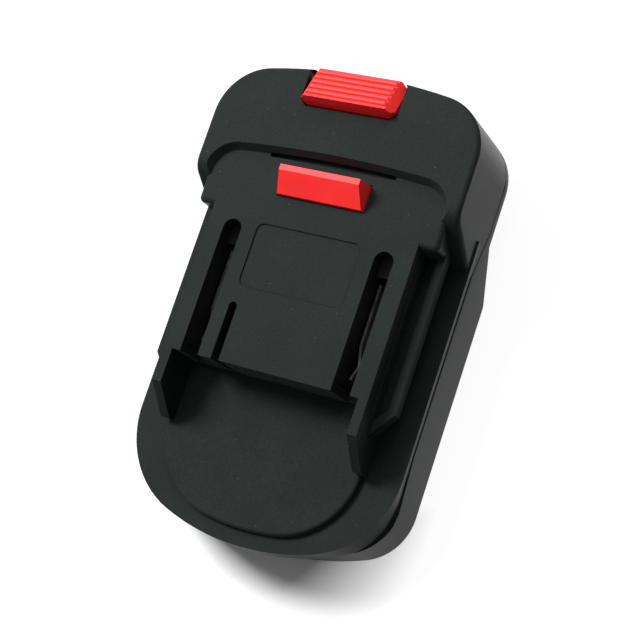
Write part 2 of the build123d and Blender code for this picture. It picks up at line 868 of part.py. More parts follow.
def contact_clip(name, place, bend_reach, pinch_reach, mouth_reach, pinch_half_gap, mouth_half_gap, top_z):
    """A sprung contact: two leaves on a base strip, pinched ahead of a flared mouth."""
    centre_x, strip, half_width, back_reach = place
    with BuildPart() as clip:
        block_between(
            (centre_x - half_width, edge_y + bend_reach, holder_top_z),
            (centre_x + half_width, edge_y + back_reach, holder_top_z + strip),
        )
        for side in (-1, 1):
            with BuildSketch(Plane.XY.offset(holder_top_z + strip)):
                with BuildLine() as leaf_line:
                    FilletPolyline(
                        (centre_x + side * (half_width - strip / 2), edge_y + back_reach),
                        (centre_x + side * (half_width - strip / 2), edge_y + bend_reach),
                        (centre_x + side * (pinch_half_gap + strip / 2), edge_y + pinch_reach),
                        (centre_x + side * (mouth_half_gap + strip / 2), edge_y + mouth_reach),
                        radius=half_width / 2,
                    )
                trace(leaf_line.line, strip)
            extrude(amount=top_z - holder_top_z - strip)
        tail_spot_y = edge_y + back_reach - solder_tail_width
        block_between(
            (centre_x - strip / 2, tail_spot_y - solder_tail_width / 2, board_top_z),
            (centre_x + strip / 2, tail_spot_y + solder_tail_width / 2, holder_top_z + strip / 2),
        )
    clip.part.label = name
    export_step(clip.part, f"parts/{name}.step")


# Tool contacts: two power clips and a small signal clip
clip_top_z = holder_top_z + clip_height
power_clip_bends = (clip_bend_reach, clip_pinch_reach, clip_mouth_reach)
contact_clip(
    "negative_clip", clip_places[0], *power_clip_bends, clip_pinch_half_gap, clip_mouth_half_gap, clip_top_z
)
contact_clip(
    "positive_clip", clip_places[1], *power_clip_bends, clip_pinch_half_gap, clip_mouth_half_gap, clip_top_z
)
signal_bend_reach = (signal_clip_back_reach + clip_pinch_reach) / 2
contact_clip(
    "signal_clip",
    clip_places[2],
    signal_bend_reach,
    (signal_bend_reach + clip_mouth_reach) / 2,
    clip_mouth_reach,
    signal_clip_pinch_half_gap,
    signal_clip_mouth_half_gap,
    clip_top_z,
)

# Circuit board, with what stands on it
with BuildPart() as circuit_board:
    block_between((-board_half_width, holder_low_y, board_z), (board_half_width, holder_high_y, board_top_z))
    with BuildSketch(Plane.XY.offset(board_z)):
        with Locations(*board_screw_spots):
            Circle(board_screw_radius + screw_hole_clearance)
    extrude(amount=board_thickness, mode=Mode.SUBTRACT)
circuit_board.part.label = "circuit_board"
export_step(circuit_board.part, "parts/circuit_board.step")

with BuildPart() as power_transistors:
    transistor_spots = [(side * transistor_x, edge_y + transistor_reach, board_top_z) for side in (-1, 1)]
    with Locations(*transistor_spots):
        Box(*transistor_size, align=(Align.CENTER, Align.CENTER, Align.MIN))
power_transistors.part.label = "power_transistors"
export_step(power_transistors.part, "parts/power_transistors.step")

with BuildPart() as smoothing_capacitor:
    with BuildSketch(Plane.XY.offset(board_top_z)):
        with Locations((capacitor_x, edge_y + capacitor_reach)):
            Circle(capacitor_radius)
    extrude(amount=capacitor_height)
smoothing_capacitor.part.label = "smoothing_capacitor"
export_step(smoothing_capacitor.part, "parts/smoothing_capacitor.step")

with BuildPart() as line_fuse:
    with Locations((0, edge_y + fuse_reach, board_top_z)):
        Box(*fuse_size, align=(Align.CENTER, Align.CENTER, Align.MIN))
line_fuse.part.label = "line_fuse"
export_step(line_fuse.part, "parts/line_fuse.step")

# Battery plug: blades that point at the head, in a block that hangs through the floor
blade_heel_y = block_low_y + block_flange
blade_step_y = blade_heel_y + blade_tail_length


def blade_profile(grow, tip_y, tail_z):
    """The side view of a blade with its upright tail, larger all round by grow."""
    return closed_profile(
        Plane.YZ,
        [
            (blade_heel_y - grow, blade_low_z - grow),
            (tip_y, blade_low_z - grow),
            (tip_y, blade_high_z + grow),
            (blade_step_y + grow, blade_high_z + grow),
            (blade_step_y + grow, tail_z),
            (blade_heel_y - grow, tail_z),
        ],
    )


blade_list = [
    ("negative_blade", -blade_x, blade_length),
    ("positive_blade", blade_x, blade_length),
    ("signal_blade", 0, signal_blade_length),
]
with BuildPart() as terminal_block:
    block_between(
        (-block_half_width, block_low_y, block_foot_z),
        (block_half_width, block_high_y, floor_z + block_flange / 2),
    )
    block_between(
        (-block_half_width - block_flange, block_low_y - block_flange, floor_z),
        (block_half_width + block_flange, block_high_y + block_flange, floor_z + block_flange_thickness),
    )
    foot_edges = terminal_block.faces().sort_by(Axis.Z)[0].edges()
    chamfer(foot_edges, block_flange / 2)
    for name, centre_x, reach in blade_list:
        pocket = blade_profile(blade_clearance, block_high_y + overrun, blade_tail_z + overrun)
        pocket_half = blade_thickness / 2 + blade_clearance
        extrude(pocket.moved(Pos(centre_x, 0, 0)), amount=pocket_half, both=True, mode=Mode.SUBTRACT)
terminal_block.part.label = "terminal_block"
export_step(terminal_block.part, "parts/terminal_block.step")

for name, centre_x, reach in blade_list:
    with BuildPart() as blade:
        side_view = blade_profile(0, block_high_y + reach, blade_tail_z)
        extrude(side_view.moved(Pos(centre_x, 0, 0)), amount=blade_thickness / 2, both=True)
        tip_edges = blade.edges().filter_by(Axis.X).sort_by(Axis.Y)[-2:]
        chamfer(tip_edges, blade_thickness)
        blade.part.label = name
    export_step(blade.part, f"parts/{name}.step")

# Leads from the blades' tails to the board, over the floor and under the disc
lead_z = board_top_z + lead_rise_gap + lead_radius
lead_list = [
    ("negative_lead", -blade_x, -lead_board_x),
    ("positive_lead", blade_x, lead_board_x),
    ("signal_lead", 0, signal_lead_board_x),
]
for name, start_x, end_x in lead_list:
    with BuildPart() as lead:
        with BuildLine():
            FilletPolyline(
                (start_x, blade_step_y, lead_z),
                (start_x, blade_step_y + lead_straight, lead_z),
                (end_x, blade_step_y + lead_straight + lead_slant, lead_z),
                (end_x, edge_y + lead_board_reach, lead_z),
                radius=lead_bend_radius,
            )
        with BuildSketch(Plane.XZ.offset(-blade_step_y)):
            with Locations((start_x, lead_z)):
                RegularPolygon(lead_radius, wire_sides)
        sweep()
    lead.part.label = name
    export_step(lead.part, f"parts/{name}.step")

# Screws: four from below into the cover, and two that hold the board
screw_seat_z = socket_depth + screw_head_height + seam_gap
with BuildPart() as housing_screws:
    with BuildSketch(Plane.XY.offset(screw_seat_z - screw_head_height)):
        with Locations(*tail_spots, *head_spots):
            Circle(screw_head_radius)
    extrude(amount=screw_head_height)
    with BuildSketch(Plane.XY.offset(screw_seat_z)):
        with Locations(*tail_spots, *head_spots):
            Circle(screw_radius)
    extrude(amount=screw_length)
housing_screws.part.label = "housing_screws"
export_step(housing_screws.part, "parts/housing_screws.step")

with BuildPart() as board_screws:
    with BuildSketch(Plane.XY.offset(board_top_z)):
        with Locations(*board_screw_spots):
            Circle(board_screw_head_radius)
    extrude(amount=board_screw_head_height)
    with BuildSketch(Plane.XY.offset(board_top_z - board_screw_length)):
        with Locations(*board_screw_spots):
            Circle(board_screw_radius)
    extrude(amount=board_screw_length)
board_screws.part.label = "board_screws"
export_step(board_screws.part, "parts/board_screws.step")
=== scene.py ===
"""Tool battery adapter: the looks of its housing, latch, contacts, board and screws.

Lengths are in metres, apart from the lens and its sensor, which are in millimetres.
"""

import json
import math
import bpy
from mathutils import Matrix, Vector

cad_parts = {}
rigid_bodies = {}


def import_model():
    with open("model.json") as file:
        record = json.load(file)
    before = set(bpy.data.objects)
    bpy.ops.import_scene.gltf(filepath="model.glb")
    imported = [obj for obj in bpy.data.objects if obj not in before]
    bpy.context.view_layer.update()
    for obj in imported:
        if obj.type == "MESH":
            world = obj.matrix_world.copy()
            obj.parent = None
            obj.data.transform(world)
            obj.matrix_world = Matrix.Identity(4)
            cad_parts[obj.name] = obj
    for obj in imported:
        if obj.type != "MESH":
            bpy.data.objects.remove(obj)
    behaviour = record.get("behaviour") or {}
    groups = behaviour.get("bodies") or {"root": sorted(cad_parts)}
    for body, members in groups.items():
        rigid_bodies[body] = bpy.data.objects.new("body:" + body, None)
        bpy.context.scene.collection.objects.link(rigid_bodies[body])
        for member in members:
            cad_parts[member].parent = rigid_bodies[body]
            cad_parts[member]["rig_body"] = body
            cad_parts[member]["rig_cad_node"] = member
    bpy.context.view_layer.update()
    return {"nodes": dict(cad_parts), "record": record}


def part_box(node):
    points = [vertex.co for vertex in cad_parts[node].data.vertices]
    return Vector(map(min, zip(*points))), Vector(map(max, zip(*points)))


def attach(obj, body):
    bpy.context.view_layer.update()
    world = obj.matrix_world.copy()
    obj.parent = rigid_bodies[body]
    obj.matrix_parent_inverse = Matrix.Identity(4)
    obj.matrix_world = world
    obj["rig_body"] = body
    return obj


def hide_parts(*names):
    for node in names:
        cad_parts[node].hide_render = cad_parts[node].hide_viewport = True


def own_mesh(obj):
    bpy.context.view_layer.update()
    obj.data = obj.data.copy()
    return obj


bl_info = {
    "name": "Tool Battery Adapter",
    "version": (1, 0, 0),
    "blender": (4, 5, 0),
    "location": "View3D > Sidebar > Adapter",
    "description": "Dresses the pieces of a slide-on battery adapter and sets its stage",
    "category": "Object",
}

import bpy
from bpy.props import FloatProperty, FloatVectorProperty, PointerProperty
from mathutils import Vector

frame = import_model()
nodes = frame["nodes"]

SMOOTH_ANGLE = math.radians(32)
BOARD_TOP = 0.0139
LEAD_HEIGHT = 0.0148


# Settings that the sidebar shows


class AdapterFinishSettings(bpy.types.PropertyGroup):
    """Colours and surface sizes of the adapter's materials."""

    housing_colour: FloatVectorProperty(
        name="Housing",
        description="Colour of the dark plastic",
        subtype="COLOR",
        size=3,
        min=0,
        max=1,
        default=(0.0080, 0.0112, 0.0102),
    )
    red_colour: FloatVectorProperty(
        name="Latch",
        description="Colour of the red plastic",
        subtype="COLOR",
        size=3,
        min=0,
        max=1,
        default=(0.98, 0.022, 0.022),
    )
    inner_colour: FloatVectorProperty(
        name="Carrier",
        description="Colour of the black plastic inside",
        subtype="COLOR",
        size=3,
        min=0,
        max=1,
        default=(0.005, 0.0052, 0.0054),
    )
    contact_colour: FloatVectorProperty(
        name="Contacts",
        description="Colour of the tinned contact metal",
        subtype="COLOR",
        size=3,
        min=0,
        max=1,
        default=(0.72, 0.69, 0.62),
    )
    grain_size: FloatProperty(
        name="Grain",
        description="Width of the housing plastic's spark texture",
        unit="LENGTH",
        default=0.0003,
        min=0.0001,
        max=0.002,
    )
    speck_size: FloatProperty(
        name="Specks",
        description="Distance between the specks of dust on the housing",
        unit="LENGTH",
        default=0.0026,
        min=0.0005,
        max=0.02,
    )


class AdapterEdgeSettings(bpy.types.PropertyGroup):
    """How wide the rounds on the pieces' edges are."""

    shell_edge: FloatProperty(
        name="Shell edges",
        description="Width of the round on the housing's edges",
        unit="LENGTH",
        default=0.00022,
        min=0,
        max=0.001,
    )
    latch_edge: FloatProperty(
        name="Latch edges",
        description="Width of the round on the latch's edges",
        unit="LENGTH",
        default=0.00018,
        min=0,
        max=0.001,
    )
    lip_edge: FloatProperty(
        name="Lip edges",
        description="Width of the round on the lower housing's edges",
        unit="LENGTH",
        default=0.00025,
        min=0,
        max=0.001,
    )


class AdapterStageSettings(bpy.types.PropertyGroup):
    """Camera, lamps and floor."""

    camera_place: FloatVectorProperty(
        name="Camera",
        description="Where the camera stands",
        subtype="TRANSLATION",
        size=3,
        default=(0.16460, -0.06103, 0.34147),
    )
    camera_turn: FloatVectorProperty(
        name="Camera turn",
        description="How the camera is turned",
        subtype="EULER",
        size=3,
        default=(0.309708, 0.385111, 0.345532),
    )
    lens: FloatProperty(
        name="Lens", description="Focal length on a 36 mm sensor", default=85.75, min=10, max=300
    )
    key_place: FloatVectorProperty(
        name="Key lamp",
        description="Where the large lamp hangs",
        subtype="TRANSLATION",
        size=3,
        default=(-0.66, 0.38, 0.92),
    )
    key_size: FloatProperty(
        name="Key size",
        description="Width of the large lamp",
        unit="LENGTH",
        default=0.42,
        min=0.05,
        max=3,
    )
    key_power: FloatProperty(
        name="Key power",
        description="Power of the large lamp in watts",
        default=25.0,
        min=0,
        max=200,
    )
    fill_place: FloatVectorProperty(
        name="Fill lamp",
        description="Where the weaker lamp hangs",
        subtype="TRANSLATION",
        size=3,
        default=(0.05, 0.95, 0.75),
    )
    fill_power: FloatProperty(
        name="Fill power",
        description="Power of the weaker lamp in watts",
        default=9.0,
        min=0,
        max=200,
    )
    sky: FloatProperty(
        name="Room light",
        description="Strength of the light from all round",
        default=0.2,
        min=0,
        max=2,
    )
    floor_size: FloatProperty(
        name="Floor", description="Width of the floor", unit="LENGTH", default=6.0, min=0.5, max=20
    )


# Shader arithmetic


class Term:
    """A value in a material that adds Math nodes as Python arithmetic is done on it."""

    def __init__(self, finish, socket):
        self.finish = finish
        self.socket = socket

    def maths(self, operation, *values):
        inputs = dict(zip(("Value", "Value_001"), values))
        return self.finish.node("ShaderNodeMath", {"operation": operation}, inputs)

    def __add__(self, other):
        return self.maths("ADD", self, other)

    def __sub__(self, other):
        return self.maths("SUBTRACT", self, other)

    def __rsub__(self, other):
        return self.maths("SUBTRACT", other, self)

    def __mul__(self, other):
        return self.maths("MULTIPLY", self, other)

    __radd__ = __add__
    __rmul__ = __mul__

    def between(self, low, high):
        """0 below low, 1 above high, and a straight ramp in between."""
        inputs = {"Value": self, "From Min": low, "From Max": high}
        return self.finish.node("ShaderNodeMapRange", {"clamp": True}, inputs)


class Finish:
    """A material under construction: its nodes, its surface shader and the place it is read at."""

    def __init__(self, name, world=None):
        self.material = world or bpy.data.materials.new(name)
        self.material.use_nodes = True
        self.tree = self.material.node_tree
        self.shader = self.tree.nodes["Background" if world else "Principled BSDF"]
        self.place = self.node("ShaderNodeTexCoord", output="Object")

    def node(self, kind, settings=None, inputs=None, output=None):
        """Add one node, with its settings first and then the values or links of its sockets."""
        node = self.tree.nodes.new(kind)
        for name, value in (settings or {}).items():
            setattr(node, name, value)
        self.fill(node, inputs or {})
        outputs = {socket.identifier: socket for socket in node.outputs}
        return Term(self, outputs[output] if output else node.outputs[0])

    def fill(self, node, inputs):
        sockets = {socket.identifier: socket for socket in node.inputs}
        for name, value in inputs.items():
            if isinstance(value, Term):
                self.tree.links.new(value.socket, sockets[name])
            else:
                sockets[name].default_value = value

    def noise(self, size, detail):
        """Cloudy values around a half, in blotches about size metres wide."""
        inputs = {"Vector": self.place, "Scale": 1 / size, "Detail": detail}
        return self.node("ShaderNodeTexNoise", None, inputs)

    def specks(self, spacing, reach):
        """1 in round specks, about spacing metres apart, which fill reach of the way between."""
        inputs = {"Vector": self.place, "Scale": 1 / spacing}
        distance = self.node("ShaderNodeTexVoronoi", None, inputs)
        return 1 - distance.between(reach * 0.6, reach)

    def mix(self, share, low, high):
        """A colour that goes from low to high as share goes from 0 to 1."""
        return self.node(
            "ShaderNodeMix",
            {"data_type": "RGBA"},
            {"Factor_Float": share, "A_Color": low, "B_Color": high},
            "Result_Color",
        )

    def relief(self, height, depth, strength=1.0):
        """A surface direction bent by a height from 0 to 1, which is depth metres deep."""
        return self.node(
            "ShaderNodeBump", None, {"Height": height, "Distance": depth, "Strength": strength}
        )

    def seen(self):
        """1 where the surface is looked at, straight or in a mirror, and 0 where it gives light."""
        names = ("Is Camera Ray", "Is Glossy Ray", "Is Transmission Ray")
        looks = [self.node("ShaderNodeLightPath", output=name) for name in names]
        return (looks[0] + looks[1] + looks[2]).between(0.0, 1.0)

    def open_from_behind(self):
        """Let the surface be looked through from its back."""
        back = self.node("ShaderNodeNewGeometry", output="Backfacing")
        clear = self.node("ShaderNodeBsdfTransparent")
        front = Term(self, self.shader.outputs[0])
        inputs = {"Fac": back, "Shader": front, "Shader_001": clear}
        either = self.node("ShaderNodeMixShader", None, inputs)
        self.fill(self.tree.nodes["Material Output"], {"Surface": either})

    def along(self, axis, vector):
        """The part of a place or direction along one axis."""
        return self.node("ShaderNodeSeparateXYZ", None, {"Vector": vector}, axis)

    def surface(self, **inputs):
        """Set the surface shader's sockets; an underscore stands for a space."""
        self.fill(self.shader, {name.replace("_", " "): value for name, value in inputs.items()})
        return self.material


def shade(colour, factor=1.0):
    """A colour with its alpha, made lighter or darker."""
    return (*[min(1.0, channel * factor) for channel in colour[:3]], 1.0)


# Materials, each made once


def label_rim_painted_shade(finish):
    """1 along the rim of the label recess, where the plastic is darkened as painted shade."""
    half_width, half_length, centre_y, corner = 0.014, 0.008, 0.0088, 0.002
    line, faded = 0.00006, 0.00022
    below, level = 0.0303, 0.0306
    x, y, z = [finish.along(axis, finish.place) for axis in "XYZ"]
    across = x.maths("MAXIMUM", x.maths("ABSOLUTE", x) - (half_width - corner), 0.0)
    along = y.maths("MAXIMUM", y.maths("ABSOLUTE", y - centre_y) - (half_length - corner), 0.0)
    beyond = x.maths("SQRT", across * across + along * along) - corner
    return (1 - x.maths("ABSOLUTE", beyond).between(line, faded)) * z.between(below, level)


def housing_plastic(look):
    """Dark textured plastic, with smoother walls than tops, dust, and painted shade along the
    label's rim.
    """
    finish = Finish("housing_plastic")
    grain = finish.noise(look.grain_size, 1.0)
    cloud = finish.noise(0.012, 3.0)
    flake = finish.noise(0.00045, 2.0)
    dust = finish.specks(look.speck_size, 0.05)
    share = cloud.between(0.35, 0.65) * 0.3 + flake.between(0.3, 0.7) * 0.7
    colour = finish.mix(share, shade(look.housing_colour, 0.55), shade(look.housing_colour, 1.45))
    colour = finish.mix(dust * 0.2, colour, (0.3, 0.31, 0.31, 1.0))
    # Painted shade: a thin dark line along the rim of the label recess
    colour = finish.mix(label_rim_painted_shade(finish) * 0.7, colour, shade(look.housing_colour, 0.2))
    upward = finish.along("Z", finish.node("ShaderNodeTexCoord", output="Normal"))
    wall = 1 - upward.maths("ABSOLUTE", upward).between(0.1, 0.5)
    roughness = 0.7 - 0.42 * wall + 0.08 * flake + 0.05 * cloud
    return finish.surface(
        Base_Color=colour,
        Roughness=roughness,
        Specular_IOR_Level=0.1,
        Sheen_Weight=0.1,
        Sheen_Roughness=0.25,
        Normal=finish.relief(grain, 0.00005, 0.5),
    )


def red_plastic(look):
    finish = Finish("red_plastic")
    cloud = finish.noise(0.008, 2.0)
    grain = finish.noise(0.00025, 1.0)
    dark, light = shade(look.red_colour, 0.92), shade(look.red_colour, 1.06)
    colour = finish.mix(cloud.between(0.3, 0.7), dark, light)
    return finish.surface(
        Base_Color=colour,
        Roughness=0.52 + 0.1 * cloud,
        Specular_IOR_Level=0.35,
        Normal=finish.relief(grain, 0.00003, 0.25),
    )


def inner_plastic(look):
    finish = Finish("inner_plastic")
    cloud = finish.noise(0.006, 3.0)
    grain = finish.noise(0.0004, 2.0)
    colour = finish.mix(cloud, shade(look.inner_colour, 0.75), shade(look.inner_colour, 1.3))
    return finish.surface(
        Base_Color=colour,
        Roughness=0.5 + 0.15 * cloud,
        Specular_IOR_Level=0.25,
        Normal=finish.relief(grain, 0.00003, 0.3),
    )


def contact_metal(look):
    finish = Finish("contact_metal")
    smear = finish.noise(0.0022, 4.0)
    spots = finish.noise(0.0005, 2.0)
    dull, clean = shade(look.contact_colour, 0.82), shade(look.contact_colour)
    colour = finish.mix(smear.between(0.35, 0.7), dull, clean)
    colour = finish.mix(spots.between(0.6, 0.75) * 0.4, colour, (0.36, 0.31, 0.22, 1.0))
    return finish.surface(
        Base_Color=colour,
        Metallic=1.0,
        Roughness=0.24 + 0.2 * smear,
        Normal=finish.relief(spots, 0.00002, 0.2),
    )


def clip_metal_painted_shade():
    finish = Finish("clip_metal_painted_shade")
    # Painted shade: the clips are tinned contact metal made far darker, for the shade they sit in
    smear = finish.noise(0.0025, 4.0)
    dark, light = (0.05, 0.048, 0.044, 1.0), (0.16, 0.155, 0.145, 1.0)
    colour = finish.mix(smear.between(0.3, 0.7), dark, light)
    return finish.surface(
        Base_Color=colour,
        Metallic=1.0,
        Roughness=0.36 + 0.2 * smear,
        Normal=finish.relief(smear, 0.00002),
    )


def spring_steel():
    finish = Finish("spring_steel")
    smear = finish.noise(0.003, 3.0)
    colour = finish.mix(smear, (0.42, 0.42, 0.44, 1.0), (0.62, 0.62, 0.63, 1.0))
    return finish.surface(
        Base_Color=colour,
        Metallic=1.0,
        Roughness=0.25 + 0.15 * smear,
        Normal=finish.relief(smear, 0.00002),
    )


def board_laminate():
    finish = Finish("board_laminate")
    weave = finish.noise(0.0006, 2.0)
    copper = finish.node(
        "ShaderNodeTexBrick",
        {"offset": 0.35},
        {"Vector": finish.place, "Scale": 180.0, "Mortar Size": 0.22, "Mortar Smooth": 0.1},
        "Fac",
    )
    colour = finish.mix(copper, (0.012, 0.16, 0.05, 1.0), (0.006, 0.085, 0.028, 1.0))
    return finish.surface(
        Base_Color=colour, Roughness=0.25 + 0.1 * weave, Normal=finish.relief(copper, 0.00004, 0.6)
    )


def moulded_epoxy():
    finish = Finish("moulded_epoxy")
    cloud = finish.noise(0.0015, 3.0)
    colour = finish.mix(cloud, (0.014, 0.014, 0.015, 1.0), (0.03, 0.03, 0.032, 1.0))
    return finish.surface(
        Base_Color=colour, Roughness=0.5 + 0.2 * cloud, Normal=finish.relief(cloud, 0.00002)
    )


def can_aluminium():
    finish = Finish("can_aluminium")
    smear = finish.noise(0.002, 3.0)
    colour = finish.mix(smear, (0.62, 0.62, 0.63, 1.0), (0.78, 0.78, 0.79, 1.0))
    return finish.surface(
        Base_Color=colour,
        Metallic=1.0,
        Roughness=0.3 + 0.15 * smear,
        Normal=finish.relief(smear, 0.00001),
    )


def fuse_ceramic():
    finish = Finish("fuse_ceramic")
    cloud = finish.noise(0.0018, 3.0)
    colour = finish.mix(cloud, (0.66, 0.63, 0.53, 1.0), (0.78, 0.75, 0.66, 1.0))
    return finish.surface(
        Base_Color=colour, Roughness=0.35 + 0.2 * cloud, Normal=finish.relief(cloud, 0.00002)
    )


def solder():
    finish = Finish("solder")
    smear = finish.noise(0.0007, 3.0)
    colour = finish.mix(smear, (0.5, 0.5, 0.52, 1.0), (0.74, 0.74, 0.75, 1.0))
    return finish.surface(
        Base_Color=colour,
        Metallic=1.0,
        Roughness=0.2 + 0.25 * smear,
        Normal=finish.relief(smear, 0.00003),
    )


def lead_insulation(name, colour):
    finish = Finish(name)
    cloud = finish.noise(0.002, 3.0)
    tint = finish.mix(cloud, shade(colour, 0.8), shade(colour, 1.15))
    return finish.surface(
        Base_Color=tint, Roughness=0.4 + 0.2 * cloud, Normal=finish.relief(cloud, 0.00003)
    )


def screw_steel():
    finish = Finish("screw_steel")
    smear = finish.noise(0.0012, 4.0)
    dark, worn = (0.05, 0.05, 0.052, 1.0), (0.22, 0.22, 0.23, 1.0)
    colour = finish.mix(smear.between(0.45, 0.75), dark, worn)
    return finish.surface(
        Base_Color=colour,
        Metallic=1.0,
        Roughness=0.32 + 0.2 * smear,
        Normal=finish.relief(smear, 0.00002),
    )


def finishes(look):
    """The material of every slot name in the record, plus the clips' metal darkened as painted
    shade, and the solder.
    """
    if "made" not in finishes.__dict__:
        finishes.made = {
            "housing_plastic": housing_plastic(look),
            "red_plastic": red_plastic(look),
            "inner_plastic": inner_plastic(look),
            "contact_metal": contact_metal(look),
            "clip_metal_painted_shade": clip_metal_painted_shade(),
            "spring_steel": spring_steel(),
            "board_laminate": board_laminate(),
            "component_case": moulded_epoxy(),
            "capacitor_can": can_aluminium(),
            "fuse_body": fuse_ceramic(),
            "lead_red": lead_insulation("lead_red", (0.55, 0.012, 0.01)),
            "lead_black": lead_insulation("lead_black", (0.014, 0.014, 0.014)),
            "lead_yellow": lead_insulation("lead_yellow", (0.72, 0.5, 0.03)),
            "screw_steel": screw_steel(),
            "solder": solder(),
        }
    return finishes.made


# Modelling helpers


def take(piece):
    """Make piece the only selected object, and the active one."""
    bpy.ops.object.select_all(action="DESELECT")
    piece.select_set(True)
    bpy.context.view_layer.objects.active = piece


def paint(piece, material):
    """Give piece one material."""
    piece.data.materials.clear()
    piece.data.materials.append(material)


def settle(piece, name, body, slot, material):
    """Name a finished piece, put its place into its mesh, and let it ride on its body."""
    take(piece)
    bpy.ops.object.transform_apply(location=True, rotation=True, scale=True)
    piece.name = name
    piece.data.name = name
    paint(piece, material)
    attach(piece, body)


def skin(piece):
    """The area of piece's surface."""
    piece.data.calc_loop_triangles()
    return sum(triangle.area for triangle in piece.data.loop_triangles)


def mark_edges(piece, angle, least):
    """Give a bevel weight to the edges of piece sharper than angle that meet none under least."""
    mesh = piece.data
    sides, short = {}, set()
    for face in mesh.polygons:
        for key in face.edge_keys:
            sides.setdefault(key, []).append(face.normal)
    for edge in mesh.edges:
        start, end = [mesh.vertices[point].co for point in edge.vertices]
        if (start - end).length < least:
            short.update(edge.vertices)
    weights = mesh.attributes.new("bevel_weight_edge", "FLOAT", "EDGE")
    for edge in mesh.edges:
        one, other = sides[edge.key]
        if one.angle(other) > angle and not short & set(edge.vertices):
            weights.data[edge.index].value = 1.0


def dressed_copy(node_name, name, edge, body, slot, material, angle=32.0, long_only=False):
    """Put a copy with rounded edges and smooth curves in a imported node's place.

    angle, in degrees, is the least that two faces turn at an edge that is rounded. With
    long_only, just the long sharp edges are rounded, to the full width.
    """
    merge_distance, flat_angle = 0.000002, math.radians(0.4)
    sharp_angle, short_edge = math.radians(40), 0.0008
    allowed_change = 0.02
    source = nodes[node_name]
    piece = source.copy()
    piece.data = source.data.copy()
    bpy.context.scene.collection.objects.link(piece)
    piece.parent = None
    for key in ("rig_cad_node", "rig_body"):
        if key in piece:
            del piece[key]
    take(piece)
    bpy.ops.mesh.customdata_custom_splitnormals_clear()
    bpy.ops.object.mode_set(mode="EDIT")
    bpy.ops.mesh.select_all(action="SELECT")
    bpy.ops.mesh.remove_doubles(threshold=merge_distance)
    bpy.ops.mesh.dissolve_limited(angle_limit=flat_angle)
    bpy.ops.object.mode_set(mode="OBJECT")
    area = skin(piece)
    split = piece.modifiers.new("split", "TRIANGULATE")
    split.min_vertices = 5
    split.ngon_method = "CLIP"
    bpy.ops.object.modifier_apply(modifier="split")
    bevel = piece.modifiers.new("edge", "BEVEL")
    bevel.width = edge
    bevel.segments = 2
    bevel.angle_limit = math.radians(angle)
    bevel.use_clamp_overlap = not long_only
    if long_only:
        mark_edges(piece, sharp_angle, short_edge)
        bevel.limit_method = "WEIGHT"
    bpy.ops.object.modifier_apply(modifier="edge")
    bpy.ops.object.shade_smooth_by_angle(angle=math.radians(angle))
    weights = piece.modifiers.new("smooth", "WEIGHTED_NORMAL")
    weights.keep_sharp = True
    bpy.ops.object.modifier_apply(modifier="smooth")
    if abs(skin(piece) / area - 1) > allowed_change:
        raise RuntimeError(f"the surface of {name} changed by more than its edges' rounds")
    settle(piece, name, body, slot, material)
    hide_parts(node_name)


def pick(piece, kind, test):
    """Open piece for editing with only the faces or points selected that pass the test."""
    if piece.mode == "EDIT":
        bpy.ops.object.mode_set(mode="OBJECT")
    take(piece)
    bpy.ops.object.mode_set(mode="EDIT")
    bpy.ops.mesh.select_mode(type=kind)
    bpy.ops.mesh.select_all(action="DESELECT")
    bpy.ops.object.mode_set(mode="OBJECT")
    for part in piece.data.polygons if kind == "FACE" else piece.data.vertices:
        part.select = test(part)
    bpy.ops.object.mode_set(mode="EDIT")


def push(y=0.0, z=0.0, wide=1.0):
    """Extrude what is selected by y and z, and make its end wide times as large about Z."""
    bpy.ops.mesh.extrude_region_move(TRANSFORM_OT_translate={"value": (0.0, y, z)})
    if wide != 1.0:
        bpy.ops.transform.resize(value=(wide, wide, 1.0), center_override=(0, 0, 0))


def close_up(piece):
    """Turn the faces of piece outwards and leave edit mode."""
    bpy.ops.mesh.select_mode(type="FACE")
    bpy.ops.mesh.select_all(action="SELECT")
    bpy.ops.mesh.normals_make_consistent(inside=False)
    bpy.ops.object.mode_set(mode="OBJECT")
    bpy.ops.object.shade_smooth_by_angle(angle=SMOOTH_ANGLE)
    return piece


def turned(steps, vertices):
    """A solid turned about the Z axis, from the radius and height of each step, bottom first."""
    radius, low = steps[0]
    bpy.ops.object.select_all(action="DESELECT")
    bpy.ops.mesh.primitive_circle_add(
        vertices=vertices, radius=radius, fill_type="NGON", location=(0, 0, low)
    )
    piece = bpy.context.object
    bpy.ops.object.transform_apply(location=True)
    pick(piece, "FACE", lambda face: True)
    for wide, high in steps[1:]:
        push(z=high - low, wide=wide / radius)
        radius, low = wide, high
    return close_up(piece)


def rounded_block(x, y, z, edge):
    """A block of x by y by z with rounded edges, about the origin and standing on the XY plane."""
    bpy.ops.object.select_all(action="DESELECT")
    bpy.ops.mesh.primitive_cube_add(size=1.0, location=(0, 0, z / 2), scale=(x, y, z))
    piece = bpy.context.object
    bpy.ops.object.transform_apply(location=True, scale=True)
    pick(piece, "FACE", lambda face: True)
    bpy.ops.mesh.bevel(offset=edge, segments=3, affect="EDGES")
    return close_up(piece)


def placed_copy(piece, place, turn=0.0):
    """A copy of piece with its own mesh, turned about the X axis and moved to place."""
    double = piece.copy()
    double.data = piece.data.copy()
    bpy.context.scene.collection.objects.link(double)
    take(double)
    if turn:
        bpy.ops.transform.rotate(value=turn, orient_axis="X", center_override=(0, 0, 0))
    double.location = place
    return double


def drop(piece):
    """Delete a pattern piece once its copies are made."""
    take(piece)
    bpy.ops.object.delete()


